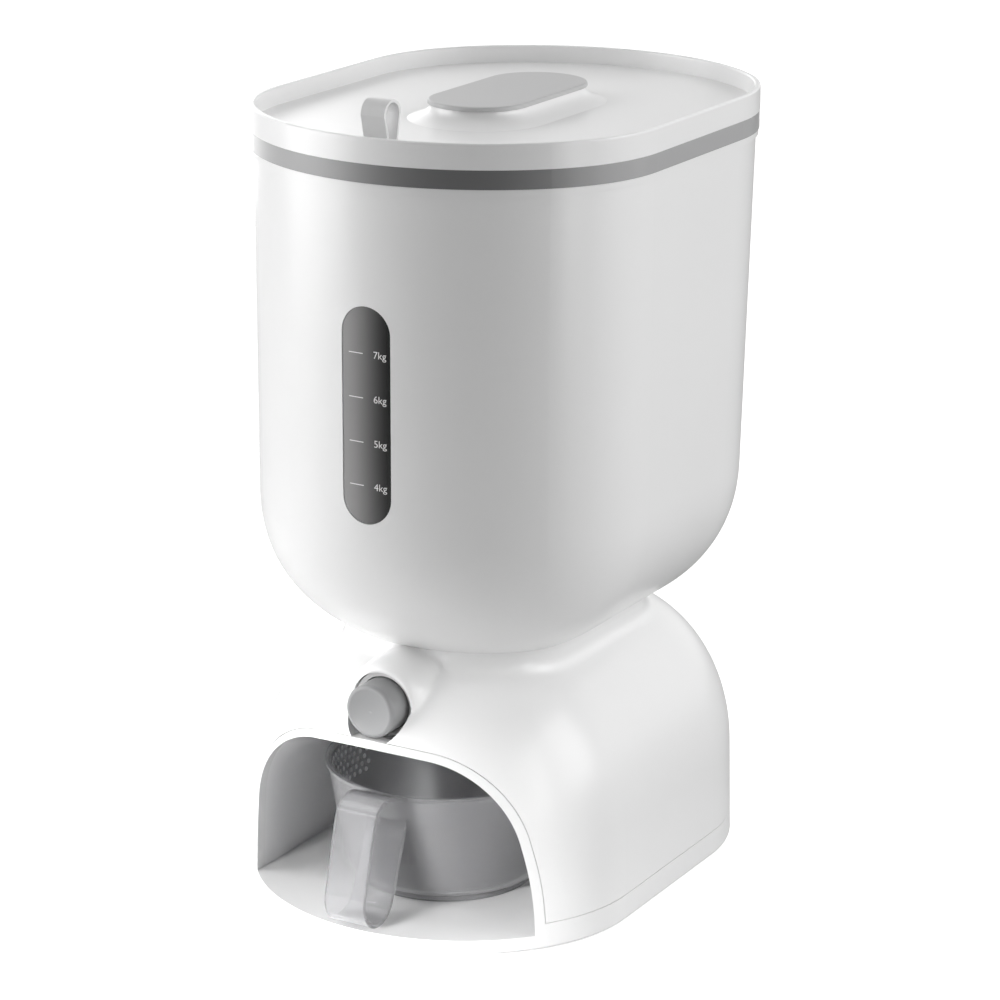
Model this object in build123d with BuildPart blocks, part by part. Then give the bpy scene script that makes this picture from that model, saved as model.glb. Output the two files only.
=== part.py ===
from build123d import *
from math import asin, atan2, degrees, radians, sin, sqrt
import os

# Rice dispenser: a lidded bin on a domed base, with a push button that slides a gate
# and lets rice fall into a clear cup standing in an arched bay.
# Millimetres. Front is -Y, up is +Z. The origin is on the floor under the base's centre.

# ---- base, in plan and in profile ------------------------------------------------------
base_width = 205.0
base_depth = 280.4
base_end_flatness = 5.6       # end arc's radius beyond half the width
base_corner_tightness = 18.4  # corner arc's radius short of half the width
base_draft = 0.020            # inset per millimetre of height, from the draft of the mould
foot_stand = 1.0              # height of the tray's underside above the floor
tray_top = 14.2               # top of the tray's outer band
tray_edge = 1.6
seam = 0.3                    # open line between neighbouring shells
dome_start = 52.3
dome_height = 78.1
dome_reach = 59.2             # how far the dome comes inward by its top
shell_wall = 2.6
lip_height = 3.0
lip_wall = 1.6

# ---- cup bay and its arched mouth ------------------------------------------------------
floor_top = 8.6
floor_thickness = 2.4
arch_half_width = 81.5
arch_height = 98.8
arch_spring = 5.7             # height where the arch's sides stand upright
crown_radius = 245.0
shoulder_radius = 51.7
side_radius = 234.0
frame_band = 3.4              # width of the flush frame round the mouth
frame_depth = 4.5
bay_height = 93.5             # bay ceiling, lower than the mouth so that the gate fits above
bay_back = 16.0
bay_wall = 2.0
bay_corner = 40.0
bay_slope_front = -122.0      # the ceiling comes down from the mouth between these two
bay_slope_back = -106.0

# ---- button, nose and plunger ----------------------------------------------------------
button_z = 116.2
nose_radius = 22.2
nose_face_y = -111.4
nose_edge = 5.0
nose_round = 16.0             # depth over which the nose's front swells to its full radius
nose_bottom = 98.0
nose_back_y = -82.5
nose_fillet = 4.0
recess_radius = 16.8
recess_flare = 0.03
bore_radius = 16.7
bulkhead_y = -90.6
cap_radius = 13.6
cap_stand = 11.7              # how far the cap stands out of the nose
cap_length = 19.6
cap_wall = 1.8
cap_front = 3.0
cap_dish = 1.3
cap_edge = 2.2
hub_radius = 6.2
hub_length = 10.0
button_travel = 11.0
sleeve_inset = 2.4
slide_gap = 0.5
rod_radius = 4.0
rod_neck_radius = 2.4
rod_gap = 0.4
stop_radius = 6.5
stop_thickness = 2.0
spring_radius = 8.0
spring_wire = 0.55
spring_turns = 7

# ---- lid, in plan and in height --------------------------------------------------------
lid_width = 214.6
lid_depth = 272.3
lid_end_flatness = 12.1
lid_corner_tightness = 27.2
lid_centre_y = 12.1
lid_top = 400.0
lid_rim_height = 12.5
lid_rim_wall = 3.0
lid_edge = 1.2
lid_recess = 9.0
lid_plate = 2.4
gasket_height = 9.2
gasket_inset = 0.2
gasket_width = 5.4
liner_inset = 6.2
liner_depth = 22.0
liner_wall = 1.8
grip_width = 52.0
grip_depth = 105.0
grip_end_flatness = 1.5
grip_corner_tightness = 1.5
grip_thickness = 2.2
grip_edge = 1.2
grip_flare = 10.0
grip_gap = 0.3
pedestal_height = 7.2
pedestal_wall = 2.4
grip_screw_spacing = 70.0
tab_y = -106.7
tab_width = 13.0
tab_depth = 14.4
tab_foot = 7.0
tab_height = 24.2
tab_strap = 1.3
tab_stem_radius = 2.2
tab_button_radius = 4.5

# ---- bin ------------------------------------------------------------------------------
bin_step = 1.75               # bin stands this much inside the lid all round
bin_side_draft = 0.0025
bin_front_draft = -0.0065
bin_back_draft = 0.0646
bin_wall = 2.5
bead_height = 3.2
bead_step = 0.7
bowl_top = 206.7
bowl_height = 77.7
bowl_power = 2.24
bowl_side = 92.6
bowl_front = 84.5
bowl_back = 99.2
neck_top = 138.5              # where the bowl sits down on the base's collar
collar_step = 1.0
collar_wall = 2.6
collar_fillet = 8.0           # hollow curve from the dome up to the bin
fit_gap = 0.3
ledge_side = 10.0             # the dome's top stays inside the collar as a screw ledge
ledge_end = 13.0
funnel_drop = 2.0
outlet_y = -22.0
outlet_width = 40.0
outlet_depth = 9.0
outlet_flange = 5.5
outlet_flange_height = 3.0
outlet_end_radius = 400.0
outlet_corner_radius = 3.0

# ---- window ---------------------------------------------------------------------------
window_width = 27.0
window_bottom = 212.0
window_top = 319.0
window_gap = 0.15
window_sink = 0.3
window_flange = 4.0
window_flange_thickness = 1.5
window_seal_thickness = 0.8

# ---- gate ------------------------------------------------------------------------------
spout_flange = 1.5
spout_wall = 1.8
spout_gap = 0.3
spout_length = 11.0
housing_floor = 2.2
housing_roof = 2.4
housing_wall = 2.6
housing_front_y = -54.0
housing_back_y = 3.6
gate_thickness = 2.0
gate_half_width = 25.0
gate_gap = 0.4
gate_back_y = -12.0
ear_length = 13.0
ear_width = 9.0
ear_thickness = 3.0
ear_x = 33.5
ear_screw_bite = 3.6
ear_sites_y = (-45.0, -5.0)
outlet_seal_thickness = 1.6
outlet_seal_band = 4.0
lug_thickness = 3.0
lug_half_width = 8.0
lug_ring_radius = 6.0
lug_lean = 82.0               # angle of the lug's slanting sides
lug_clearance = 2.0
clip_thickness = 1.0
clip_radius = 4.6

# ---- cup -------------------------------------------------------------------------------
cup_y = -50.0
cup_rim_radius = 61.7
cup_rim_z = 69.8
cup_lip = 1.4
cup_lip_height = 3.0
cup_wall = 2.0
cup_heel = 12.0
cup_bottom_radius = 51.3      # where the wall's line meets the floor before the heel is rounded
cup_bottom_z = 10.6
cup_foot_radius = 45.3
cup_foot_width = 2.3
cup_lift = 0.2
handle_width = 22.4
handle_strap = 2.2
handle_top_radius = 13.5
handle_top_y = -124.9
handle_top_z = 60.3
handle_low_radius = 14.4
handle_low_y = -133.8
handle_low_z = 24.2
handle_root_y = -106.0
handle_root_low = 62.0
handle_root_high = 65.5

# ---- fasteners and feet ------------------------------------------------------------------
screw_shank = 1.45
screw_hole = 1.7
screw_pilot = 1.55
screw_head_radius = 3.0
screw_head_height = 2.0
post_radius = 5.0
post_height = 14.0
ear_post_radius = 4.0
neck_boss_radius = 3.4
neck_boss_height = 6.6
neck_screw_bite = 4.6
foot_radius = 7.0
foot_recess = 1.3
foot_wall = 2.4
side_screw_inset = 11.5       # the next four: from the base's side or end to a screw's centre
side_screw_y = -20.0
rear_screw_inset_x = 40.5
rear_screw_inset_y = 52.2
front_foot_inset_x = 36.5     # the next four: from the base's side or end to a foot's centre
front_foot_inset_y = 68.2
rear_foot_inset_x = 32.5
rear_foot_inset_y = 80.2
neck_screw_x = 12.0
neck_screw_inset = 9.3        # from the collar's outline

# ---- worked out from the sizes above -----------------------------------------------------
base_end_radius = base_width / 2 + base_end_flatness
base_corner_radius = base_width / 2 - base_corner_tightness
lid_end_radius = lid_width / 2 + lid_end_flatness
lid_corner_radius = lid_width / 2 - lid_corner_tightness
grip_end_radius = grip_width / 2 + grip_end_flatness
grip_corner_radius = grip_width / 2 - grip_corner_tightness
dome_top = dome_start + dome_height
lid_bottom = lid_top - lid_rim_height
bin_top = lid_bottom - gasket_height
lid_floor = lid_top - lid_recess
lid_under = lid_floor - lid_plate
pedestal_top = lid_floor + pedestal_height
grip_top = pedestal_top + grip_gap + grip_thickness
bay_roof_top = bay_height + bay_wall
housing_bottom = bay_roof_top + spout_flange
slot_floor = housing_bottom + housing_floor
gate_bottom = slot_floor + gate_gap
gate_top = gate_bottom + gate_thickness
slot_roof = gate_top + gate_gap
housing_top = slot_roof + housing_roof
outlet_z = housing_top + outlet_seal_thickness
ear_bottom = housing_top - ear_thickness
cap_face_y = nose_face_y - cap_stand
cap_inner_y = cap_face_y + cap_front
cap_back_y = cap_face_y + cap_length
socket_y = cap_inner_y + 1.0
stop_y = nose_back_y + gate_gap
lug_front_y = housing_front_y - lug_clearance - button_travel - lug_thickness
lug_back_y = lug_front_y + lug_thickness
rod_end_y = lug_back_y + clip_thickness + slide_gap
foot_roof = foot_stand + foot_recess
pan_bottom = lid_under - liner_depth
ear_sites = [(side * ear_x, y) for side in (1, -1) for y in ear_sites_y]
grip_screw_sites = [(0, lid_centre_y + side * grip_screw_spacing / 2) for side in (1, -1)]
half_width = base_width / 2
half_depth = base_depth / 2
base_screw_sites = [(side * (half_width - side_screw_inset), side_screw_y) for side in (1, -1)]
base_screw_sites += [(side * (half_width - rear_screw_inset_x), half_depth - rear_screw_inset_y)
                     for side in (1, -1)]
foot_sites = [(side * (half_width - front_foot_inset_x), front_foot_inset_y - half_depth)
              for side in (1, -1)]
foot_sites += [(side * (half_width - rear_foot_inset_x), half_depth - rear_foot_inset_y)
               for side in (1, -1)]
button_axis = Axis((0, 0, button_z), (0, 1, 0))
button_plane = Plane.XY.offset(button_z)
cup_axis = Axis((0, cup_y, 0), (0, 0, 1))
cup_plane = Plane(origin=(0, cup_y, 0), x_dir=(1, 0, 0), z_dir=(0, -1, 0))
handle_plane = Plane(origin=(-handle_width / 2, 0, 0), x_dir=(0, 1, 0), z_dir=(1, 0, 0))


# ---- outlines ----------------------------------------------------------------------------
def pod(width, depth, end_radius, corner_radius, centre_y, z):
    """The product's shape in plan: wide end arcs, tighter corners, straight sides."""
    turn = degrees(asin((width / 2 - corner_radius) / (end_radius - corner_radius)))
    with BuildSketch(Plane.XY.offset(z)) as outline:
        with BuildLine():
            front = JernArc((0, centre_y - depth / 2), (1, 0), end_radius, turn)
            corner = JernArc(front @ 1, front % 1, corner_radius, 90 - turn)
            side = Line(corner @ 1, (width / 2, 2 * centre_y - (corner @ 1).Y))
            rear_corner = JernArc(side @ 1, side % 1, corner_radius, 90 - turn)
            JernArc(rear_corner @ 1, rear_corner % 1, end_radius, turn)
            mirror(about=Plane.YZ)
        make_face()
    return outline.sketch


def lid_section(inset, z):
    """The lid's outline, moved inward by inset."""
    return pod(lid_width - 2 * inset, lid_depth - 2 * inset, lid_end_radius - inset,
               lid_corner_radius - inset, lid_centre_y, z)


def grip_section(inset, z):
    """The grip's outline in the middle of the lid."""
    return pod(grip_width - 2 * inset, grip_depth - 2 * inset, grip_end_radius - inset,
               grip_corner_radius - inset, lid_centre_y, z)


def outlet_section(grow, z, centre_y=outlet_y):
    """The rice slot, grown by grow."""
    return pod(outlet_width + 2 * grow, outlet_depth + 2 * grow, outlet_end_radius + grow,
               outlet_corner_radius + grow, centre_y, z)


def base_section(inset, z):
    """The base's outline at height z: a little draft below, an elliptical dome above."""
    rise = min(1.0, max(0.0, (z - dome_start) / (dome_height - inset)))
    reach = base_draft * z + dome_reach * (1 - sqrt(1 - rise**2)) + inset
    return pod(base_width - 2 * reach, base_depth - 2 * reach, base_end_radius - reach,
               base_corner_radius - reach, 0, z)


def base_block(inset, bottom):
    """The solid inside the base's surface, moved inward by inset."""
    turns = (0, 14, 28, 42, 55, 67, 78, 90)
    heights = [dome_start + (dome_height - inset) * sin(radians(turn)) for turn in turns]
    with BuildPart() as block:
        loft([base_section(inset, z) for z in (bottom, dome_start)], ruled=True)
        loft([base_section(inset, z) for z in heights])
    return block.part


def bin_reach(inset, z):
    """How far the bin's sides, front and back stand inside the lid's outline at height z."""
    fall = min(1.0, max(0.0, (bowl_top - z) / (bowl_height - inset)))
    curl = 1 - (1 - fall**bowl_power) ** (1 / bowl_power)
    edge = bin_step + inset
    down = bin_top - z
    side = edge + bin_side_draft * down + bowl_side * curl
    front = edge + bin_front_draft * down + bowl_front * curl
    back = edge + bin_back_draft * down + bowl_back * curl
    return side, front, back


def bin_pod(side, front, back, z):
    """The lid's outline moved inward by different amounts at its sides, front and back."""
    return pod(lid_width - 2 * side, lid_depth - front - back, lid_end_radius - side,
               lid_corner_radius - side, lid_centre_y + (front - back) / 2, z)


def bin_section(inset, z):
    """The bin's outline at height z, moved inward by inset."""
    side, front, back = bin_reach(inset, z)
    return bin_pod(side, front, back, z)


def neck_section(shrink, z, end_shrink=None):
    """The bin's outline where it meets the base, moved inward and set at height z."""
    ends = shrink if end_shrink is None else end_shrink
    side, front, back = bin_reach(0, neck_top)
    return bin_pod(side + shrink, front + ends, back + ends, z)


def neck_sites(inset):
    """Two places inside the neck outline's front and two inside its back."""
    side, front, back = bin_reach(0, neck_top)
    front_y = lid_centre_y - lid_depth / 2 + front + inset
    back_y = lid_centre_y + lid_depth / 2 - back - inset
    return [(way * neck_screw_x, y) for y in (front_y, back_y) for way in (1, -1)]


def bin_wall_block(inset, bottom, top):
    """The solid inside the bin's upright wall between two heights."""
    with BuildPart() as block:
        loft([bin_section(inset, z) for z in (bottom, top)], ruled=True)
    return block.part


def bin_block(inset):
    """The solid inside the bin's wall and bowl, moved inward by inset."""
    shares = (0, 0.22, 0.42, 0.6, 0.76, 0.89, 1)
    heights = [bowl_top - (bowl_top - neck_top) * share for share in shares]
    with BuildPart() as block:
        add(bin_wall_block(inset, bowl_top, bin_top))
        loft([bin_section(inset, z) for z in heights])
    return block.part


def window_block(grow, front_y, back_y):
    """The upright window slot as a block between two planes."""
    height = window_top - window_bottom + 2 * grow
    middle = (window_top + window_bottom) / 2
    with BuildPart() as block:
        with BuildSketch(Plane.XZ.offset(-back_y)):
            with Locations((0, middle)):
                SlotOverall(height, window_width + 2 * grow, rotation=90)
        extrude(amount=back_y - front_y)
    return block.part


def arch_block(grow, bottom, front_y, back_y):
    """A block with the mouth's outline of three tangent arcs a side, grown by grow."""
    crown = Vector(0, arch_height - crown_radius)
    side = Vector(arch_half_width - side_radius, arch_spring)
    span = side - crown
    near = crown_radius - shoulder_radius
    far = side_radius - shoulder_radius
    along = (near**2 - far**2 + span.length**2) / (2 * span.length)
    across = sqrt(near**2 - along**2)
    unit = span.normalized()
    shoulder = crown + unit * along + Vector(unit.Y, -unit.X) * across
    high = degrees(atan2(shoulder.Y - crown.Y, shoulder.X - crown.X))
    low = degrees(atan2(shoulder.Y - side.Y, shoulder.X - side.X))
    foot = degrees(asin((bottom - arch_spring) / (side_radius + grow)))
    with BuildPart() as block:
        with BuildSketch(Plane.XZ.offset(-back_y)):
            with BuildLine():
                rising = CenterArc(side, side_radius + grow, foot, low - foot)
                CenterArc(shoulder, shoulder_radius + grow, low, high - low)
                top = CenterArc(crown, crown_radius + grow, high, 90 - high)
                Polyline(top @ 1, (0, bottom), rising @ 0)
            make_face()
            mirror(about=Plane.YZ)
        extrude(amount=back_y - front_y)
    return block.part


def screw_row(sites, seat_z, length, way=1):
    """Pan-head screws whose heads bear on a face at seat_z, pointing up or down."""
    with BuildPart() as row:
        with BuildSketch(Plane.XY.offset(seat_z)):
            with Locations(*sites):
                Circle(screw_head_radius)
        extrude(amount=-way * screw_head_height)
        with BuildSketch(Plane.XY.offset(seat_z)):
            with Locations(*sites):
                Circle(screw_shank)
        extrude(amount=way * length)
    return row.part


def pillars(sites, radius, bottom, top):
    """Round pillars standing at sites."""
    with BuildPart() as group:
        with BuildSketch(Plane.XY.offset(bottom)):
            with Locations(*sites):
                Circle(radius)
        extrude(amount=top - bottom)
    return group.part


neck_screw_sites = neck_sites(neck_screw_inset)

# ==== base tray: floor and outer band; the arched frame stands welded in its gap =============
lip_top = tray_top + lip_height
lip_inset = shell_wall + fit_gap

with BuildPart() as base_tray:
    loft([base_section(0, z) for z in (foot_stand, tray_top)], ruled=True)
    fillet(base_tray.faces().sort_by(Axis.Z)[0].edges(), radius=tray_edge)
    extrude(base_section(shell_wall, floor_top), amount=tray_top, mode=Mode.SUBTRACT)
    extrude(base_section(shell_wall + tray_edge, foot_stand),
            amount=floor_top - floor_thickness - foot_stand, mode=Mode.SUBTRACT)
    extrude(base_section(lip_inset, floor_top), amount=lip_top - floor_top)
    extrude(base_section(lip_inset + lip_wall, floor_top), amount=lip_top - floor_top,
            mode=Mode.SUBTRACT)
    extrude(base_section(shell_wall - fit_gap, floor_top), amount=tray_top - floor_top)
    extrude(base_section(lip_inset + lip_wall, floor_top), amount=tray_top - floor_top,
            mode=Mode.SUBTRACT)
    add(pillars(foot_sites, foot_radius + foot_wall, foot_stand, floor_top))
    add(pillars(foot_sites, foot_radius + fit_gap, foot_stand, foot_roof), mode=Mode.SUBTRACT)
    add(pillars(base_screw_sites, screw_hole, 0, tray_top), mode=Mode.SUBTRACT)
    add(arch_block(frame_band, floor_top, -base_depth, 0), mode=Mode.SUBTRACT)
base_tray.part.label = "base_tray"

with BuildPart() as arch_frame:
    add(base_block(0, floor_top))
    add(base_block(frame_depth, floor_top), mode=Mode.SUBTRACT)
    add(arch_block(frame_band, floor_top, -base_depth, 0), mode=Mode.INTERSECT)
    add(arch_block(0, floor_top, -base_depth, 0), mode=Mode.SUBTRACT)
arch_frame.part.label = "arch_frame"

with BuildPart() as rubber_feet:
    add(pillars(foot_sites, foot_radius, 0, foot_roof))
    fillet(rubber_feet.faces().sort_by(Axis.Z)[:4].edges(), radius=foot_stand / 2)
rubber_feet.part.label = "rubber_feet"

# ==== base shell: dome, collar for the bin, nose for the button and screw posts =============
shell_bottom = tray_top + seam

with BuildPart() as dome_form:
    add(base_block(0, floor_top))

with BuildPart() as hollow_form:
    add(base_block(shell_wall, floor_top - 1))

with BuildPart() as nose_form:
    with BuildSketch(button_plane):
        with BuildLine():
            front_radius = nose_radius - nose_edge
            full_y = nose_face_y + nose_round
            EllipticalCenterArc((front_radius, full_y), nose_edge, nose_round, -90, arc_size=90)
            Polyline((nose_radius, full_y), (nose_radius, nose_back_y), (0, nose_back_y),
                     (0, nose_face_y), (front_radius, nose_face_y))
        make_face()
    revolve(axis=button_axis)

with BuildPart() as nose_body:
    add(nose_form.part)
    split(bisect_by=Plane.XY.offset(nose_bottom), keep=Keep.TOP)

with BuildPart() as recess_form:
    with BuildSketch(button_plane):
        front_y = -base_depth / 2
        flare = recess_radius + recess_flare * (nose_face_y - front_y)
        Polygon((0, front_y), (flare, front_y), (recess_radius, nose_face_y),
                (bore_radius, nose_face_y), (bore_radius, bulkhead_y),
                (rod_radius + rod_gap, bulkhead_y), (rod_radius + rod_gap, nose_back_y + 1),
                (0, nose_back_y + 1), align=None)
    revolve(axis=button_axis)

with BuildPart() as recess_wall:
    with BuildSketch(Plane(origin=(0, nose_face_y, button_z), z_dir=(0, -1, 0))):
        Circle(nose_radius)
    extrude(amount=nose_radius)
    add(dome_form.part, mode=Mode.INTERSECT)

with BuildPart() as shell_posts:
    add(pillars(base_screw_sites, post_radius, floor_top, dome_top))
    add(dome_form.part, mode=Mode.INTERSECT)

with BuildPart() as outer_form:
    collar_base = dome_start + dome_height / 2
    add(dome_form.part)
    extrude(neck_section(collar_step, collar_base), amount=neck_top - collar_base)
    fillet(outer_form.edges().filter_by_position(Axis.Z, dome_top - collar_fillet, dome_top - seam),
           radius=collar_fillet)
    collar_edges = outer_form.edges()
    add(nose_form.part)
    nose_edges = [edge for edge in outer_form.edges() if edge not in collar_edges]
    fillet([edge for edge in nose_edges if edge.geom_type != GeomType.CIRCLE],
           radius=nose_fillet)

with BuildPart() as base_shell:
    add(outer_form.part)
    extrude(neck_section(collar_step + collar_wall, dome_top), amount=neck_top - dome_top,
            mode=Mode.SUBTRACT)
    add(hollow_form.part, mode=Mode.SUBTRACT)
    split(bisect_by=Plane.XY.offset(shell_bottom), keep=Keep.TOP)
    add(recess_wall.part)
    add(arch_block(frame_band + seam, floor_top, -base_depth, -base_depth / 4),
        mode=Mode.SUBTRACT)
    add(nose_body.part)
    add(recess_form.part, mode=Mode.SUBTRACT)
    extrude(neck_section(ledge_side, dome_start, ledge_end), amount=dome_height + seam,
            mode=Mode.SUBTRACT)
    add(shell_posts.part)
    add(pillars(base_screw_sites, screw_pilot, floor_top, floor_top + post_height),
        mode=Mode.SUBTRACT)
    add(pillars(neck_screw_sites, screw_hole, dome_start, neck_top), mode=Mode.SUBTRACT)
    add(pillars(neck_screw_sites, screw_head_radius + fit_gap, dome_start, dome_top - shell_wall),
        mode=Mode.SUBTRACT)
base_shell.part.label = "base_shell"

base_screws = screw_row(base_screw_sites, floor_top - floor_thickness, post_height)
base_screws.label = "base_screws"

neck_screws = screw_row(neck_screw_sites, dome_top - shell_wall, shell_wall + neck_screw_bite)
neck_screws.label = "neck_screws"


# ==== bay liner: the cup's bay, with the ceiling that carries the gate ======================
def bay_block(grow):
    """The bay's space, grown by a wall: the mouth run back, a lower ceiling, round corners."""
    front_y = -base_depth / 2
    back_y = bay_back + grow
    with BuildPart() as block:
        add(arch_block(grow, floor_top, front_y, back_y))
        with BuildSketch(Plane.XY.offset(floor_top)) as plan:
            with Locations((0, (back_y + front_y) / 2)):
                Rectangle(2 * (arch_half_width + grow), back_y - front_y)
            fillet(plan.vertices().group_by(Axis.Y)[-1], radius=bay_corner + grow)
        extrude(amount=dome_top, mode=Mode.INTERSECT)
        with BuildSketch(Plane.YZ.offset(-base_width / 2)):
            Polygon((front_y, 0), (back_y, 0), (back_y, bay_height + grow),
                    (bay_slope_back, bay_height + grow),
                    (bay_slope_front, arch_height + grow), (front_y, arch_height + grow),
                    align=None)
        extrude(amount=base_width, mode=Mode.INTERSECT)
    return block.part


with BuildPart() as bay_liner:
    add(bay_block(bay_wall))
    add(bay_block(0), mode=Mode.SUBTRACT)
    add(base_block(frame_depth, floor_top), mode=Mode.INTERSECT)
    extrude(outlet_section(spout_wall + spout_gap, bay_height), amount=bay_wall,
            mode=Mode.SUBTRACT)
    add(pillars(ear_sites, ear_post_radius, bay_roof_top - bay_wall / 2, ear_bottom))
    add(pillars(ear_sites, screw_pilot, bay_roof_top, ear_bottom), mode=Mode.SUBTRACT)
bay_liner.part.label = "bay_liner"

# ==== gate: spout, housing, sliding plate and seal ==========================================
with BuildPart() as outlet_spout:
    extrude(outlet_section(outlet_flange, bay_roof_top), amount=spout_flange)
    extrude(outlet_section(spout_wall, bay_roof_top + spout_flange), amount=-spout_length)
    extrude(outlet_section(0, bay_roof_top + spout_flange), amount=-spout_length,
            mode=Mode.SUBTRACT)
outlet_spout.part.label = "outlet_spout"

with BuildPart() as gate_housing:
    housing_middle = (housing_front_y + housing_back_y) / 2
    housing_depth = housing_back_y - housing_front_y
    cavity_half = gate_half_width + gate_gap
    with BuildSketch(Plane.XY.offset(housing_bottom)):
        with Locations((0, housing_middle)):
            Rectangle(2 * (cavity_half + housing_wall), housing_depth)
    extrude(amount=housing_top - housing_bottom)
    with BuildSketch(Plane.XY.offset(ear_bottom)):
        with Locations(*ear_sites):
            RectangleRounded(ear_length, ear_width, ear_width / 3)
    extrude(amount=ear_thickness)
    with BuildSketch(Plane.XY.offset(slot_floor)):
        with Locations((0, housing_middle - housing_wall / 2)):
            Rectangle(2 * cavity_half, housing_depth - housing_wall)
    extrude(amount=slot_roof - slot_floor, mode=Mode.SUBTRACT)
    extrude(outlet_section(0, housing_bottom), amount=housing_top - housing_bottom,
            mode=Mode.SUBTRACT)
    add(pillars(ear_sites, screw_hole, ear_bottom, housing_top), mode=Mode.SUBTRACT)
gate_housing.part.label = "gate_housing"

housing_screws = screw_row(ear_sites, housing_top, ear_thickness + ear_screw_bite, way=-1)
housing_screws.label = "housing_screws"

with BuildPart() as outlet_seal:
    extrude(outlet_section(outlet_seal_band, housing_top), amount=outlet_seal_thickness)
    extrude(outlet_section(0, housing_top), amount=outlet_seal_thickness, mode=Mode.SUBTRACT)
outlet_seal.part.label = "outlet_seal"

with BuildPart() as gate_plate:
    with BuildSketch(Plane.XY.offset(gate_bottom)):
        with Locations((0, (lug_front_y + gate_back_y) / 2)):
            RectangleRounded(2 * gate_half_width, gate_back_y - lug_front_y, lug_thickness)
    extrude(amount=gate_thickness)
    extrude(outlet_section(0, gate_bottom, outlet_y - button_travel), amount=gate_thickness,
            mode=Mode.SUBTRACT)
    with BuildSketch(Plane.XZ.offset(-lug_back_y)):
        with Locations((0, gate_bottom)):
            Trapezoid(2 * lug_half_width, button_z - gate_bottom, lug_lean,
                      align=(Align.CENTER, Align.MIN))
        with Locations((0, button_z)):
            Circle(lug_ring_radius)
    extrude(amount=lug_thickness)
    with BuildSketch(Plane.XZ.offset(-lug_back_y)):
        with Locations((0, button_z)):
            Circle(rod_neck_radius + seam / 2)
    extrude(amount=lug_thickness, mode=Mode.SUBTRACT)
gate_plate.part.label = "gate_plate"

# ==== button: cap, plunger, clip, spring and guide sleeve ===================================
with BuildPart() as button_cap:
    with BuildSketch(button_plane):
        with BuildLine():
            rim = (cap_radius - cap_edge, cap_face_y)
            dish = TangentArc((0, cap_face_y + cap_dish), rim, tangent=(1, 0))
            CenterArc((cap_radius - cap_edge, cap_face_y + cap_edge), cap_edge, -90, 90)
            Polyline((cap_radius, cap_face_y + cap_edge), (cap_radius, cap_back_y),
                     (cap_radius - cap_wall, cap_back_y), (cap_radius - cap_wall, cap_inner_y),
                     (hub_radius, cap_inner_y), (hub_radius, cap_inner_y + hub_length),
                     (rod_radius + seam / 3, cap_inner_y + hub_length),
                     (rod_radius + seam / 3, socket_y), (0, socket_y), dish @ 0)
        make_face()
    revolve(axis=button_axis)
button_cap.part.label = "button_cap"

with BuildPart() as plunger:
    with BuildSketch(button_plane):
        Polygon((0, socket_y), (rod_radius, socket_y), (rod_radius, stop_y),
                (stop_radius, stop_y), (stop_radius, stop_y + stop_thickness),
                (rod_radius, stop_y + stop_thickness), (rod_radius, lug_front_y),
                (rod_neck_radius, lug_front_y), (rod_neck_radius, rod_end_y), (0, rod_end_y),
                align=None)
    revolve(axis=button_axis)
plunger.part.label = "plunger"

with BuildPart() as retaining_clip:
    with BuildSketch(Plane.XZ.offset(-lug_back_y - clip_thickness)):
        with Locations((0, button_z)):
            Circle(clip_radius)
            Circle(rod_neck_radius + seam / 6, mode=Mode.SUBTRACT)
            with Locations((0, -clip_radius)):
                Rectangle(rod_neck_radius, 2 * clip_radius, mode=Mode.SUBTRACT)
    extrude(amount=clip_thickness)
retaining_clip.part.label = "retaining_clip"

with BuildPart() as guide_sleeve:
    with BuildSketch(button_plane):
        sleeve_front_y = nose_face_y + sleeve_inset
        Polygon((cap_radius + slide_gap, sleeve_front_y), (bore_radius - fit_gap, sleeve_front_y),
                (bore_radius - fit_gap, bulkhead_y), (spring_radius + 2 * spring_wire, bulkhead_y),
                (spring_radius + 2 * spring_wire, bulkhead_y - seam * 2),
                (cap_radius + slide_gap, bulkhead_y - seam * 2), align=None)
    revolve(axis=button_axis)
guide_sleeve.part.label = "guide_sleeve"

with BuildPart() as return_spring:
    spring_front_y = cap_inner_y + spring_wire + seam / 3
    spring_length = bulkhead_y - spring_wire - seam / 3 - spring_front_y
    with BuildLine() as coil:
        Helix(spring_length / spring_turns, spring_length, spring_radius,
              center=(0, spring_front_y, button_z), direction=(0, 1, 0))
    with BuildSketch(Plane(origin=coil.line @ 0, z_dir=coil.line % 0)):
        Circle(spring_wire)
    sweep()
return_spring.part.label = "return_spring"

# ==== bin: wall and bowl, with the funnel welded under the bowl =============================
funnel_base_z = outlet_z + outlet_flange_height

with BuildPart() as bin_shell:
    add(bin_block(0))
    extrude(lid_section(bead_step, bin_top - bead_height), amount=bead_height)
    add(bin_block(bin_wall), mode=Mode.SUBTRACT)
    add(window_block(0, -lid_depth, 0), mode=Mode.SUBTRACT)
bin_shell.part.label = "bin_shell"

with BuildPart() as hopper_funnel:
    extrude(neck_section(collar_step + collar_wall + fit_gap, neck_top), amount=-funnel_drop)
    loft([neck_section(collar_step + collar_wall + fit_gap, neck_top - funnel_drop),
          outlet_section(outlet_flange, funnel_base_z)], ruled=True)
    extrude(outlet_section(outlet_flange, outlet_z), amount=outlet_flange_height)
    add(pillars(neck_screw_sites, neck_boss_radius, dome_top, dome_top + neck_boss_height))
    loft([bin_section(bin_wall, neck_top), outlet_section(0, funnel_base_z)], ruled=True,
         mode=Mode.SUBTRACT)
    extrude(outlet_section(0, outlet_z), amount=outlet_flange_height, mode=Mode.SUBTRACT)
    add(pillars(neck_screw_sites, screw_pilot, dome_top, dome_top + neck_screw_bite + seam),
        mode=Mode.SUBTRACT)
hopper_funnel.part.label = "hopper_funnel"


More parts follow.
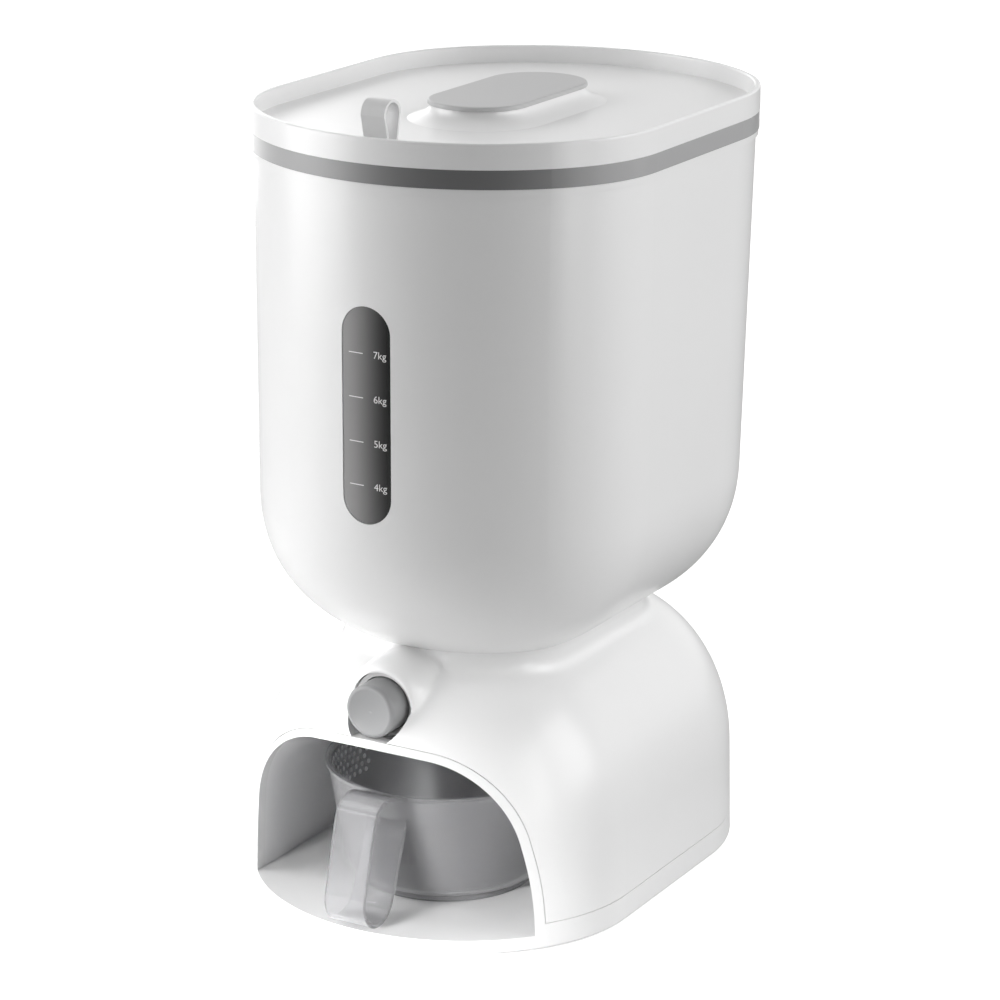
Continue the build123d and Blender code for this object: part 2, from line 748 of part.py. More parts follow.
def window_layer(outer, inner, grow):
    """A layer of the front wall between two insets, cut to the window's slot grown by grow."""
    low = window_bottom - grow - seam
    high = window_top + grow + seam
    with BuildPart() as layer:
        add(bin_wall_block(outer, low, high))
        add(bin_wall_block(inner, low - seam, high + seam), mode=Mode.SUBTRACT)
        add(window_block(grow, -lid_depth, 0), mode=Mode.INTERSECT)
    return layer.part


seal_inner = bin_wall + window_seal_thickness
flange_inner = seal_inner + window_flange_thickness

with BuildPart() as window_strip:
    add(window_layer(window_sink, flange_inner, -window_gap))
    add(window_layer(seal_inner, flange_inner, window_flange))
window_strip.part.label = "window_strip"

with BuildPart() as window_seal:
    add(window_layer(bin_wall + seam / 6, seal_inner, window_flange))
    add(window_block(window_gap, -lid_depth, 0), mode=Mode.SUBTRACT)
window_seal.part.label = "window_seal"

# ==== lid: cover, gasket, liner pan, grip pad and pull tab ==================================
with BuildPart() as lid_cover:
    extrude(lid_section(0, lid_bottom), amount=lid_rim_height)
    extrude(lid_section(lid_rim_wall, lid_floor), amount=lid_recess, mode=Mode.SUBTRACT)
    fillet(lid_cover.faces().sort_by(Axis.Z)[-1].edges(), radius=lid_edge)
    extrude(lid_section(liner_inset - fit_gap, lid_bottom), amount=lid_under - lid_bottom,
            mode=Mode.SUBTRACT)
    loft([grip_section(-grip_flare * (1 - share)**2.5 + grip_edge * share,
                       lid_floor + pedestal_height * share) for share in (0, 0.12, 0.3, 0.6, 1)])
    extrude(grip_section(pedestal_wall + grip_edge, lid_under),
            amount=lid_floor - lid_under + pedestal_height - pedestal_wall, mode=Mode.SUBTRACT)
    add(pillars(grip_screw_sites, post_radius, lid_under, pedestal_top))
    add(pillars(grip_screw_sites, screw_hole, lid_under, pedestal_top), mode=Mode.SUBTRACT)
    add(pillars([(0, tab_y)], tab_stem_radius + fit_gap, lid_bottom, lid_floor),
        mode=Mode.SUBTRACT)
lid_cover.part.label = "lid_cover"

with BuildPart() as lid_gasket:
    extrude(lid_section(gasket_inset, bin_top), amount=gasket_height)
    extrude(lid_section(gasket_inset + gasket_width, bin_top), amount=gasket_height,
            mode=Mode.SUBTRACT)
lid_gasket.part.label = "lid_gasket"

with BuildPart() as lid_liner:
    extrude(lid_section(liner_inset, pan_bottom), amount=liner_depth)
    fillet(lid_liner.faces().sort_by(Axis.Z)[0].edges(), radius=liner_wall)
    extrude(lid_section(liner_inset + liner_wall, pan_bottom + liner_wall), amount=liner_depth,
            mode=Mode.SUBTRACT)
lid_liner.part.label = "lid_liner"

with BuildPart() as grip_pad:
    extrude(grip_section(0, grip_top - grip_thickness), amount=grip_thickness)
    fillet(grip_pad.faces().sort_by(Axis.Z)[-1].edges(), radius=grip_edge)
    extrude(grip_section(pedestal_wall, pedestal_top), amount=grip_gap)
    add(pillars(grip_screw_sites, screw_pilot, pedestal_top, grip_top - grip_edge),
        mode=Mode.SUBTRACT)
grip_pad.part.label = "grip_pad"

grip_screw_bite = pedestal_top - lid_under + grip_thickness / 2
grip_screws = screw_row(grip_screw_sites, lid_under, grip_screw_bite)
grip_screws.label = "grip_screws"

with BuildPart() as pull_tab:
    tab_round = tab_depth / 2
    with BuildSketch(Plane.YZ.offset(-tab_width / 2)) as tab_profile:
        with BuildLine():
            top_y = lid_floor + tab_height - tab_round
            CenterArc((tab_y, top_y), tab_round, 0, 180)
            Polyline((tab_y - tab_round, top_y), (tab_y - tab_foot / 2, lid_floor),
                     (tab_y + tab_foot / 2, lid_floor), (tab_y + tab_round, top_y))
        make_face()
        fillet(tab_profile.vertices().group_by(Axis.Y)[0], radius=tab_strap)
        offset(amount=-tab_strap, mode=Mode.SUBTRACT)
    extrude(amount=tab_width)
    add(pillars([(0, tab_y)], tab_stem_radius, lid_under, lid_floor + tab_strap))
    add(pillars([(0, tab_y)], tab_button_radius, lid_under - tab_strap, lid_under))
pull_tab.part.label = "pull_tab"

# ==== measuring cup with its looped handle ==================================================
with BuildPart() as cup_form:
    with BuildSketch(cup_plane) as cup_side:
        with BuildLine():
            Polyline((0, cup_bottom_z), (cup_bottom_radius, cup_bottom_z),
                     (cup_rim_radius - cup_lip, cup_rim_z - cup_lip_height),
                     (cup_rim_radius, cup_rim_z - cup_lip_height / 2),
                     (cup_rim_radius, cup_rim_z), (0, cup_rim_z), close=True)
        make_face()
        heel = cup_side.vertices().group_by(Axis.Y)[0].sort_by(Axis.X)[-1]
        fillet(heel, radius=cup_heel)
    revolve(axis=cup_axis)

with BuildPart() as measuring_cup:
    add(cup_form.part)
    with BuildSketch(Plane.XY.offset(floor_top + cup_lift)):
        with Locations((0, cup_y)):
            Circle(cup_foot_radius)
            Circle(cup_foot_radius - cup_foot_width, mode=Mode.SUBTRACT)
    extrude(until=Until.NEXT)
    with BuildSketch(handle_plane) as handle_side:
        with Locations((handle_top_y, handle_top_z)):
            Circle(handle_top_radius)
        with Locations((handle_low_y, handle_low_z)):
            Circle(handle_low_radius)
        with Locations((handle_root_y, handle_root_low), (handle_root_y, handle_root_high)):
            Circle(handle_strap)
        make_hull()
        offset(amount=-handle_strap, mode=Mode.SUBTRACT)
    extrude(amount=handle_width)
    with BuildSketch(cup_plane) as cup_inside:
        with BuildLine():
            inner_bottom = cup_bottom_z + cup_wall
            Polyline((0, inner_bottom), (cup_bottom_radius - cup_wall, inner_bottom),
                     (cup_rim_radius - cup_lip - cup_wall, cup_rim_z - cup_lip_height),
                     (cup_rim_radius - cup_wall, cup_rim_z), (0, cup_rim_z), close=True)
        make_face()
        inner_heel = cup_inside.vertices().group_by(Axis.Y)[0].sort_by(Axis.X)[-1]
        fillet(inner_heel, radius=cup_heel - cup_wall)
    revolve(axis=cup_axis, mode=Mode.SUBTRACT)
measuring_cup.part.label = "measuring_cup"

# ==== files =================================================================================
os.makedirs("parts", exist_ok=True)
export_step(base_shell.part, "parts/base_shell.step")
export_step(base_tray.part, "parts/base_tray.step")
export_step(arch_frame.part, "parts/arch_frame.step")
export_step(bay_liner.part, "parts/bay_liner.step")
export_step(rubber_feet.part, "parts/rubber_feet.step")
export_step(base_screws, "parts/base_screws.step")
export_step(neck_screws, "parts/neck_screws.step")
export_step(guide_sleeve.part, "parts/guide_sleeve.step")
export_step(gate_housing.part, "parts/gate_housing.step")
export_step(housing_screws, "parts/housing_screws.step")
export_step(outlet_spout.part, "parts/outlet_spout.step")
export_step(outlet_seal.part, "parts/outlet_seal.step")
export_step(bin_shell.part, "parts/bin_shell.step")
export_step(hopper_funnel.part, "parts/hopper_funnel.step")
export_step(window_strip.part, "parts/window_strip.step")
export_step(window_seal.part, "parts/window_seal.step")
export_step(lid_cover.part, "parts/lid_cover.step")
export_step(lid_gasket.part, "parts/lid_gasket.step")
export_step(lid_liner.part, "parts/lid_liner.step")
export_step(grip_pad.part, "parts/grip_pad.step")
export_step(grip_screws, "parts/grip_screws.step")
export_step(pull_tab.part, "parts/pull_tab.step")
export_step(button_cap.part, "parts/button_cap.step")
export_step(plunger.part, "parts/plunger.step")
export_step(gate_plate.part, "parts/gate_plate.step")
export_step(retaining_clip.part, "parts/retaining_clip.step")
export_step(return_spring.part, "parts/return_spring.step")
export_step(measuring_cup.part, "parts/measuring_cup.step")
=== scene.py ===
import math

import bmesh
import bpy
from mathutils import Matrix, Vector
from mathutils.bvhtree import BVHTree


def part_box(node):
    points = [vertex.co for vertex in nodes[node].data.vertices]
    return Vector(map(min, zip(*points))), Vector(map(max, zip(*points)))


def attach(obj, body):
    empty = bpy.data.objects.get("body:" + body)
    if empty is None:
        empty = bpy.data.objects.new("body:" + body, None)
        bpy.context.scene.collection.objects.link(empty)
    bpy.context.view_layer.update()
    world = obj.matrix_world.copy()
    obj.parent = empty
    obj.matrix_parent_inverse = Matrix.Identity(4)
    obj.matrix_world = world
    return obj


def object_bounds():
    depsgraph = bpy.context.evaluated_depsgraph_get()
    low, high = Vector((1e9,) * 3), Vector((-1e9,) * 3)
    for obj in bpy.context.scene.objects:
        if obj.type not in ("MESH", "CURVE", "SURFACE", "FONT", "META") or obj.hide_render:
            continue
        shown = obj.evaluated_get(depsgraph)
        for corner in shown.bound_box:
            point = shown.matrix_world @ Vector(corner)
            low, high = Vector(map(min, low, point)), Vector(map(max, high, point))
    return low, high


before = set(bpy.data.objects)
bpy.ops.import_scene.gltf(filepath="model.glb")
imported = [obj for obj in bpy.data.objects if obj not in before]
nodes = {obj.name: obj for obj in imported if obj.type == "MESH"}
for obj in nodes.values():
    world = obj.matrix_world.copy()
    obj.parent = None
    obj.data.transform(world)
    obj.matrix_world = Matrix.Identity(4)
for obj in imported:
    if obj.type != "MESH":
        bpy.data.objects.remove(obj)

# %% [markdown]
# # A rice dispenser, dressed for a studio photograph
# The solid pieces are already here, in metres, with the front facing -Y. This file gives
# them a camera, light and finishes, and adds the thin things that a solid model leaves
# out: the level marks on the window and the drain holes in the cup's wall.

MM = 0.001
cad_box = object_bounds()
print("nodes:", len(nodes), "box:", cad_box)

# %% [markdown]
# ## Camera
# A long lens stands a little above the object and to its right. The two small shifts slide
# the picture without turning the camera, so that upright edges stay upright.

# %% camera
LENS = 127.65
DISTANCE = 1.81045
AIM = Vector((0, 0.0121, 0.2))
TURN = math.radians(30.07)
RISE = math.radians(16.7)

back = Vector((math.sin(TURN) * math.cos(RISE), -math.cos(TURN) * math.cos(RISE), math.sin(RISE)))
camera_data = bpy.data.cameras.new("camera")
camera_data.lens = LENS
camera_data.sensor_width = 36
camera_data.shift_x = -0.00851
camera_data.shift_y = -0.02206
camera = bpy.data.objects.new("camera", camera_data)
camera.location = AIM + back * DISTANCE
camera.rotation_euler = back.to_track_quat("Z", "Y").to_euler()
bpy.context.collection.objects.link(camera)
bpy.context.scene.camera = camera
print("camera at", tuple(round(v, 3) for v in camera.location))

# %% [markdown]
# ## Floor, world and lamps
# A white object on a white ground only shows its shape if some of what it mirrors is dark.
# The photograph was lit from both sides with nothing bright near the camera: its front is
# brightest at the left, darkest where it faces the lens, and pale again along the right side.
# So the sky here is a white backdrop behind the object that darkens towards the front, a big
# soft lamp stands far round to the left, and weaker ones stand at the right shoulder. The
# first powers came from rendering each lamp by itself and adding the pictures in proportion.
# They were then changed, by comparing tones at places all over the object.
# Camera rays see floor and sky as pure white, which costs the object no contrast.

# %% a floor that looks white and keeps the shadow
TABLE_TONE = 0.88             # the white table close to the object
ROOM_TONE = 0.22              # the darker room beyond it
TABLE_CENTRE = (-0.27, -0.3, 0)
TABLE_REACH = (0.22, 0.7)      # distance from its centre over which the one becomes the other
FLOOR_LIFT = (0.6, 1.0)       # light added for camera rays alone, near and far


def node_material(name):
    """A new material with its Principled shader, ready to be wired."""
    material = bpy.data.materials.new(name)
    material.use_nodes = True
    return material, material.node_tree.nodes, material.node_tree.links


def studio_floor():
    """A white table in a gray room for the light that it sends on, white for the camera."""
    material, parts, links = node_material("studio_floor")
    shader = parts["Principled BSDF"]
    shader.inputs["Roughness"].default_value = 0.7
    place = parts.new("ShaderNodeTexCoord")
    reach = parts.new("ShaderNodeVectorMath")
    reach.operation = "DISTANCE"
    reach.inputs[1].default_value = TABLE_CENTRE
    links.new(place.outputs["Object"], reach.inputs[0])
    near_to_far = []
    for low, high in ((TABLE_TONE, ROOM_TONE), FLOOR_LIFT):
        ramp = parts.new("ShaderNodeMapRange")
        ramp.interpolation_type = "SMOOTHSTEP"
        ramp.inputs["From Min"].default_value, ramp.inputs["From Max"].default_value = TABLE_REACH
        ramp.inputs["To Min"].default_value = low
        ramp.inputs["To Max"].default_value = high
        links.new(reach.outputs["Value"], ramp.inputs["Value"])
        near_to_far.append(ramp.outputs["Result"])
    links.new(near_to_far[0], shader.inputs["Base Color"])
    rays = parts.new("ShaderNodeLightPath")
    either = parts.new("ShaderNodeMath")
    either.operation = "MAXIMUM"
    strength = parts.new("ShaderNodeMath")
    strength.operation = "MULTIPLY"
    links.new(rays.outputs["Is Camera Ray"], either.inputs[0])
    links.new(rays.outputs["Is Transmission Ray"], either.inputs[1])
    links.new(either.outputs[0], strength.inputs[0])
    links.new(near_to_far[1], strength.inputs[1])
    links.new(strength.outputs[0], shader.inputs["Emission Strength"])
    shader.inputs["Emission Color"].default_value = (1, 1, 1, 1)
    return material


shape = bmesh.new()
bmesh.ops.create_grid(shape, x_segments=1, y_segments=1, size=6)
floor_mesh = bpy.data.meshes.new("floor")
shape.to_mesh(floor_mesh)
shape.free()
floor = bpy.data.objects.new("floor", floor_mesh)
floor.data.materials.append(studio_floor())
bpy.context.collection.objects.link(floor)
print("floor laid")

# %% a sky that is dark in front and white behind
SKY_FRONT = 0.0
SKY_BACK = 0.91

world = bpy.data.worlds.new("studio")
bpy.context.scene.world = world
world.use_nodes = True
sky = world.node_tree.nodes["Background"]
add_node = world.node_tree.nodes.new
wires = world.node_tree.links
direction = add_node("ShaderNodeTexCoord")
split = add_node("ShaderNodeSeparateXYZ")
depth = add_node("ShaderNodeMapRange")
depth.interpolation_type = "SMOOTHSTEP"
depth.inputs["From Min"].default_value = -0.25
depth.inputs["From Max"].default_value = 0.65
depth.inputs["To Min"].default_value = SKY_FRONT
depth.inputs["To Max"].default_value = SKY_BACK
wires.new(direction.outputs["Generated"], split.inputs["Vector"])
wires.new(split.outputs["Y"], depth.inputs["Value"])
rays = add_node("ShaderNodeLightPath")
either = add_node("ShaderNodeMath")
either.operation = "MAXIMUM"
brighter = add_node("ShaderNodeMath")
brighter.operation = "MAXIMUM"
wires.new(rays.outputs["Is Camera Ray"], either.inputs[0])
wires.new(rays.outputs["Is Transmission Ray"], either.inputs[1])
wires.new(either.outputs[0], brighter.inputs[0])
wires.new(depth.outputs["Result"], brighter.inputs[1])
wires.new(brighter.outputs[0], sky.inputs["Strength"])
sky.inputs["Color"].default_value = (1, 1, 1, 1)
bpy.context.scene.view_settings.view_transform = "Standard"
print("sky from", SKY_FRONT, "to", SKY_BACK)

# %% lamps, each placed by its bearing from the front, its height angle and its distance
MIDDLE = Vector((0, 0, 0.2))


def soft_lamp(name, bearing, rise, distance, width, height, power, aim=MIDDLE, spread=180):
    """A rectangular area lamp turned towards aim."""
    turn, lift = math.radians(bearing), math.radians(rise)
    way = Vector((math.sin(turn) * math.cos(lift), -math.cos(turn) * math.cos(lift),
                  math.sin(lift)))
    lamp = bpy.data.lights.new(name, "AREA")
    lamp.shape = "RECTANGLE"
    lamp.size = width
    lamp.size_y = height
    lamp.energy = power
    lamp.spread = math.radians(spread)
    holder = bpy.data.objects.new(name, lamp)
    holder.location = aim + way * distance
    holder.rotation_euler = way.to_track_quat("Z", "Y").to_euler()
    bpy.context.collection.objects.link(holder)
    return holder


BAY_FLOOR = Vector((0.02, -0.1, 0.012))
soft_lamp("key_left", -58, 14, 1.6, 1.1, 1.3, 22)
soft_lamp("strip_front_left", -40, 12, 1.6, 0.35, 1.5, 0.9)
soft_lamp("high_left", -70, 44, 1.6, 0.8, 0.8, 4.5)
soft_lamp("rim_left", -128, 14, 1.6, 0.9, 1.3, 5)
soft_lamp("fill_right", 104, 22, 1.6, 0.9, 1.2, 11)
soft_lamp("strip_right", 72, 15, 1.6, 0.4, 1.3, 6)
soft_lamp("bay_light", -12, 15, 0.7, 0.15, 0.06, 0.15, aim=BAY_FLOOR, spread=24)
print("seven lamps")

# %% [markdown]
# ## Two lamps for the gasket alone
# The satin gray gasket mirrors a dark room in front and bright walls at both sides: it runs
# smoothly from almost white at the left through near black to light gray at the right. Lamps
# wide enough for that would wash out the white bin, so light linking gives them one receiver.

# %% wide side lamps that light only the gasket
gasket_only = bpy.data.collections.new("gasket_only")
gasket_only.objects.link(nodes["lid_gasket"])
for lamp in (soft_lamp("gasket_left", -130, 6, 1.3, 2.2, 1.2, 27),
             soft_lamp("gasket_right", 128, 6, 1.3, 2.4, 1.2, 9)):
    lamp.light_linking.receiver_collection = gasket_only

# %% [markdown]
# ## Moulded plastic
# Nearly everything is injection moulded. Its surface is smooth but never perfect: a spark-
# eroded mould leaves a fine grain, and large walls sink and swell a little. Two noises on
# object coordinates do both, one fine for the grain and one wide for the roughness.


# %% plastic with a mould grain
def plastic(name, colour, roughness, grain=0.05, grain_size=1800, coat=0.0, variation=0.012,
            coat_ior=1.5, coat_roughness=0.25):
    material, parts, links = node_material(name)
    shader = parts["Principled BSDF"]
    place = parts.new("ShaderNodeTexCoord")
    fine = parts.new("ShaderNodeTexNoise")
    fine.inputs["Scale"].default_value = grain_size
    fine.inputs["Detail"].default_value = 2
    wide = parts.new("ShaderNodeTexNoise")
    wide.inputs["Scale"].default_value = 9
    wide.inputs["Detail"].default_value = 3
    links.new(place.outputs["Object"], fine.inputs["Vector"])
    links.new(place.outputs["Object"], wide.inputs["Vector"])
    bump = parts.new("ShaderNodeBump")
    bump.inputs["Strength"].default_value = grain
    bump.inputs["Distance"].default_value = 0.0002
    links.new(fine.outputs["Fac"], bump.inputs["Height"])
    links.new(bump.outputs["Normal"], shader.inputs["Normal"])
    rough = parts.new("ShaderNodeMapRange")
    rough.inputs["To Min"].default_value = roughness - 0.04
    rough.inputs["To Max"].default_value = roughness + 0.04
    links.new(wide.outputs["Fac"], rough.inputs["Value"])
    links.new(rough.outputs["Result"], shader.inputs["Roughness"])
    tint = parts.new("ShaderNodeMix")
    tint.data_type = "RGBA"
    tint.inputs["A"].default_value = (*[c - variation for c in colour], 1)
    tint.inputs["B"].default_value = (*[min(1, c + variation) for c in colour], 1)
    links.new(wide.outputs["Fac"], tint.inputs["Factor"])
    links.new(tint.outputs["Result"], shader.inputs["Base Color"])
    shader.inputs["Coat Weight"].default_value = coat
    shader.inputs["Coat IOR"].default_value = coat_ior
    shader.inputs["Coat Roughness"].default_value = coat_roughness
    return material


shell_white = plastic("shell_white", (0.86, 0.86, 0.86), 0.38, coat=0.6)
bay_white = plastic("bay_white", (0.84, 0.84, 0.845), 0.45)
mechanism_white = plastic("mechanism_white", (0.7, 0.7, 0.7), 0.5)
gasket_gray = plastic("gasket_gray", (0.07, 0.07, 0.072), 0.5, coat=1.0, coat_ior=2.2,
                      coat_roughness=0.5)
silicone = plastic("silicone_gray", (0.68, 0.68, 0.682), 0.45, grain=0.12)
pad_silicone = plastic("pad_silicone", (0.5, 0.5, 0.502), 0.42, grain=0.1)
button_gray = plastic("button_gray", (0.28, 0.282, 0.286), 0.4, grain=0.08)
foot_rubber = plastic("foot_rubber", (0.06, 0.06, 0.06), 0.7, grain=0.3)
print("eight plastics")

# %% [markdown]
# ## Clear plastic
# The cup is a clear moulding that has gone milky, as such cups do: most light passes through
# it, a share is scattered white at the surface. Its wall is a little less clear than the strap.
# The window is the same stuff in dark gray, with painted shade on it: its colour runs from
# lighter gray at its left to near black at its right, for how light falls across it. A ramp
# along one axis of the piece's own coordinates takes each of them from one look to the other.


# %% milky clear plastic, with two looks along an axis
def milky(name, axis, start, end, colours, clarity, roughness=0.12):
    """Clear plastic whose colour goes from colours[0] at start to colours[1] at end on axis."""
    material, parts, links = node_material(name)
    shader = parts["Principled BSDF"]
    place = parts.new("ShaderNodeTexCoord")
    split = parts.new("ShaderNodeSeparateXYZ")
    links.new(place.outputs["Object"], split.inputs["Vector"])
    ramp = parts.new("ShaderNodeMapRange")
    ramp.interpolation_type = "SMOOTHSTEP"
    ramp.inputs["From Min"].default_value = start
    ramp.inputs["From Max"].default_value = end
    links.new(split.outputs[axis], ramp.inputs["Value"])
    tint = parts.new("ShaderNodeMix")
    tint.data_type = "RGBA"
    tint.inputs["A"].default_value = (*colours[0], 1)
    tint.inputs["B"].default_value = (*colours[1], 1)
    links.new(ramp.outputs["Result"], tint.inputs["Factor"])
    links.new(tint.outputs["Result"], shader.inputs["Base Color"])
    clear = parts.new("ShaderNodeMapRange")
    clear.inputs["To Min"].default_value = clarity[0]
    clear.inputs["To Max"].default_value = clarity[1]
    links.new(ramp.outputs["Result"], clear.inputs["Value"])
    links.new(clear.outputs["Result"], shader.inputs["Transmission Weight"])
    shader.inputs["IOR"].default_value = 1.49
    wide = parts.new("ShaderNodeTexNoise")
    wide.inputs["Scale"].default_value = 30
    links.new(place.outputs["Object"], wide.inputs["Vector"])
    rough = parts.new("ShaderNodeMapRange")
    rough.inputs["To Min"].default_value = roughness
    rough.inputs["To Max"].default_value = roughness + 0.06
    links.new(wide.outputs["Fac"], rough.inputs["Value"])
    links.new(rough.outputs["Result"], shader.inputs["Roughness"])
    return material


HANDLE_Y = -0.113             # the handle's strap is in front of this plane
cup_clear = milky("cup_clear", "Y", HANDLE_Y - 0.004, HANDLE_Y,
                  ((0.6, 0.6, 0.61), (0.6, 0.6, 0.61)), (0.8, 0.76))
window_low, window_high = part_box("window_strip")
# painted shade: the window's colour goes from lighter gray at the left to near black at the right
window_smoke_and_painted_shade = milky("window_smoke_and_painted_shade", "X", window_low[0] * 0.8, window_high[0] * 0.8,
                      ((0.43, 0.425, 0.425), (0.02, 0.02, 0.02)), (0.2, 0.2), roughness=0.1)
print("two milky plastics")


# %% steel for screws, clip and spring
def steel():
    material, parts, links = node_material("steel")
    shader = parts["Principled BSDF"]
    shader.inputs["Base Color"].default_value = (0.6, 0.6, 0.6, 1)
    shader.inputs["Metallic"].default_value = 1.0
    place = parts.new("ShaderNodeTexCoord")
    grain = parts.new("ShaderNodeTexNoise")
    grain.inputs["Scale"].default_value = 900
    links.new(place.outputs["Object"], grain.inputs["Vector"])
    rough = parts.new("ShaderNodeMapRange")
    rough.inputs["To Min"].default_value = 0.25
    rough.inputs["To Max"].default_value = 0.4
    links.new(grain.outputs["Fac"], rough.inputs["Value"])
    links.new(rough.outputs["Result"], shader.inputs["Roughness"])
    return material


bright_steel = steel()

# %% finishes on the solid pieces
finishes = {
    "base_shell": shell_white, "base_tray": shell_white, "arch_frame": shell_white,
    "bin_shell": shell_white, "lid_cover": shell_white, "bay_liner": bay_white,
    "hopper_funnel": bay_white, "lid_liner": bay_white,
    "rubber_feet": foot_rubber, "base_screws": bright_steel, "neck_screws": bright_steel,
    "housing_screws": bright_steel, "grip_screws": bright_steel,
    "retaining_clip": bright_steel, "return_spring": bright_steel,
    "guide_sleeve": mechanism_white, "gate_housing": mechanism_white,
    "outlet_spout": mechanism_white, "plunger": mechanism_white,
    "gate_plate": mechanism_white, "outlet_seal": silicone, "window_seal": silicone,
    "lid_gasket": gasket_gray, "pull_tab": silicone, "grip_pad": pad_silicone,
    "button_cap": button_gray, "window_strip": window_smoke_and_painted_shade, "measuring_cup": cup_clear,
}
for node, finish in finishes.items():
    for holder in nodes[node].material_slots:
        holder.material = finish
print("finishes on", len(finishes), "nodes")

# %% [markdown]
# ## Level marks on the window
# A printed mark is ink a few hundredths of a millimetre thick. Each is a flat letter shape or
# bar whose points are dropped straight back onto the window's curved face, so it follows the
# curve at every height. The numbers are plain ones, in the typeface that comes with Blender.

# %% sizes of the print on the window
INK_LIFT = 0.04 * MM
MARKS = {7: 296.0 * MM, 6: 274.3 * MM, 5: 252.5 * MM, 4: 231.1 * MM}
TEXT_RIGHT = 11.2 * MM
TEXT_HEIGHT = 3.5 * MM
BAR_LEFT = -9.5 * MM
BAR_RIGHT = -1.5 * MM
BAR_HEIGHT = 0.45 * MM
CAP_SHARE = 0.7               # a capital's share of the letters' nominal size
print("marks from", min(MARKS.values()), "to", max(MARKS.values()))


# %% helpers for thin pieces that lie on a surface

def surface_tree(node):
    """A search tree over a node's mesh."""
    shape = bmesh.new()
    shape.from_mesh(nodes[node].data)
    tree = BVHTree.FromBMesh(shape)
    shape.free()
    return tree


def paint(name, colour, roughness=0.5):
    """Ink, or light through a hole: a matt colour that varies a little."""
    return plastic(name, colour, roughness, grain=0.02, variation=0.02)


def finish_piece(name, mesh, material, body):
    """Give a new mesh its material and its body, and put it in the scene."""
    mesh.materials.clear()
    mesh.materials.append(material)
    piece = bpy.data.objects.new(name, mesh)
    bpy.context.collection.objects.link(piece)
    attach(piece, body)
    return piece


def letters(text, height):
    """Flat letters as a mesh in X and Y, starting at the origin."""
    curve = bpy.data.curves.new("letters", "FONT")
    curve.body = text
    curve.size = height / CAP_SHARE
    holder = bpy.data.objects.new("letters", curve)
    bpy.context.collection.objects.link(holder)
    mesh = bpy.data.meshes.new_from_object(holder)
    bpy.data.objects.remove(holder)
    return mesh


print("helpers ready")

# %% the marks, dropped onto the window
window_face = surface_tree("window_strip")
ink = paint("mark_ink", (0.8, 0.8, 0.8))
printed = bmesh.new()
for number, level in MARKS.items():
    sign = bmesh.new()
    sign.from_mesh(letters(str(number) + "kg", TEXT_HEIGHT))
    right = max(vert.co.x for vert in sign.verts)
    bmesh.ops.translate(sign, verts=sign.verts, vec=(TEXT_RIGHT - right, -TEXT_HEIGHT / 2, 0))
    bar = bmesh.ops.create_grid(sign, x_segments=8, y_segments=1, size=0.5)["verts"]
    bmesh.ops.scale(sign, verts=bar, vec=(BAR_RIGHT - BAR_LEFT, BAR_HEIGHT, 1))
    bmesh.ops.translate(sign, verts=bar, vec=((BAR_RIGHT + BAR_LEFT) / 2, 0, 0))
    bmesh.ops.subdivide_edges(sign, edges=[e for e in sign.edges if e.calc_length() > MM], cuts=1)
    for vert in sign.verts:
        start = Vector((vert.co.x, cad_box[0][1] - MM, level + vert.co.y))
        vert.co = window_face.ray_cast(start, Vector((0, 1, 0)))[0] - Vector((0, INK_LIFT, 0))
    flat = bpy.data.meshes.new("sign")
    sign.to_mesh(flat)
    sign.free()
    printed.from_mesh(flat)
bmesh.ops.recalc_face_normals(printed, faces=printed.faces)
mark_mesh = bpy.data.meshes.new("level_marks")
printed.to_mesh(mark_mesh)
printed.free()
finish_piece("level_marks", mark_mesh, ink, "dispenser")
print("level marks:", len(MARKS), "with", len(mark_mesh.polygons), "faces")
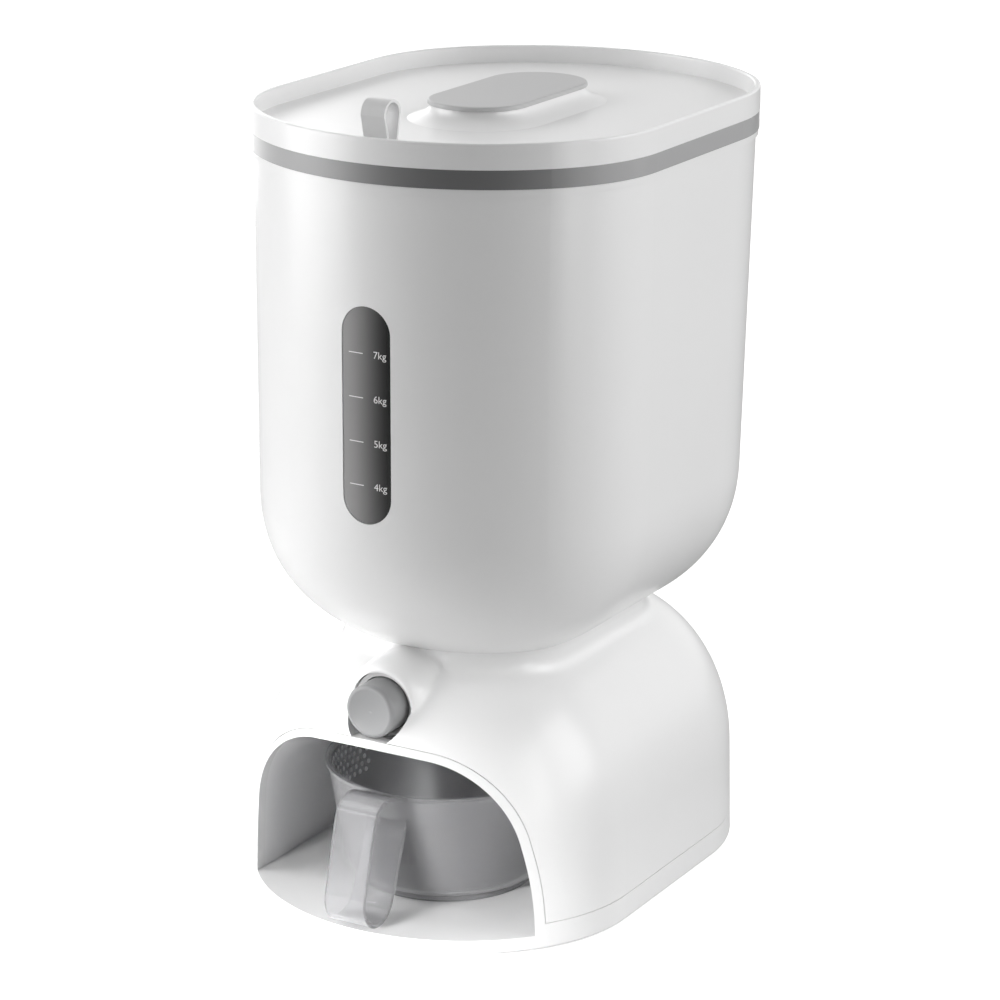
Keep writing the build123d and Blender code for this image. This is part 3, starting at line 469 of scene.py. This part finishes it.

# %% [markdown]
# ## Drain holes high in the cup's wall
# Near its rim the cup has rows of small round holes for pouring off water. From inside each
# shows as a light disc in a raised rim. No hole is cut: the disc is painted light, a pale
# patch that stands for the light coming through the hole. One hole is made flat, as a disc
# whose edge is inset twice and lifted between the insets. Copies of it are then set on the
# wall along the cup's radius, in curved rows at the left.

# %% one drain hole, flat, facing +Z
HOLE_RADIUS = 1.0 * MM
HOLE_RIM = 0.3 * MM
HOLE_LIFT = 0.02 * MM
HOLE_SIDES = 12
DISC_DROP = 0.7               # how far the disc lies below its rim, as a share of the rim

hole = bmesh.new()
bmesh.ops.create_circle(hole, cap_ends=True, segments=HOLE_SIDES,
                         radius=HOLE_RADIUS + HOLE_RIM)
disc = list(hole.faces)
bmesh.ops.inset_region(hole, faces=disc, thickness=HOLE_RIM / 2, depth=HOLE_RIM)
bmesh.ops.inset_region(hole, faces=disc, thickness=HOLE_RIM / 2, depth=-HOLE_RIM * DISC_DROP)
bmesh.ops.translate(hole, verts=hole.verts, vec=(0, 0, HOLE_LIFT))
hole_shape = bpy.data.meshes.new("hole")
hole.to_mesh(hole_shape)
hole.free()
print("one hole:", len(hole_shape.polygons), "faces")

# %% drain holes on the cup's wall
CUP_AXIS = Vector((0, -50 * MM, 0))
HOLE_ROWS = 6
HOLE_COLUMNS = 9
HOLE_TOP = 65.5 * MM
HOLE_PITCH = 3.4 * MM
HOLE_START = math.radians(168)
HOLE_STEP = math.radians(5.2)

cup_face = surface_tree("measuring_cup")
holes = bmesh.new()
for row in range(HOLE_ROWS):
    stagger = row % 2
    for column in range(HOLE_COLUMNS - stagger):
        turn = HOLE_START + (column + stagger / 2) * HOLE_STEP
        middle = CUP_AXIS + Vector((0, 0, HOLE_TOP - row * HOLE_PITCH))
        wall, normal = cup_face.ray_cast(middle, Vector((math.cos(turn), math.sin(turn), 0)))[:2]
        placed = hole_shape.copy()
        facing = normal.to_track_quat("Z", "Y").to_matrix().to_4x4()
        placed.transform(Matrix.Translation(wall) @ facing)
        holes.from_mesh(placed)
hole_mesh = bpy.data.meshes.new("drain_holes")
holes.to_mesh(hole_mesh)
holes.free()
# painted light: the pale disc colour stands for light coming through each drain hole
hole_painted_light = paint("hole_painted_light", (0.75, 0.75, 0.76))
finish_piece("drain_holes", hole_mesh, hole_painted_light, "cup")
print("drain holes:", HOLE_ROWS * HOLE_COLUMNS - HOLE_ROWS // 2)
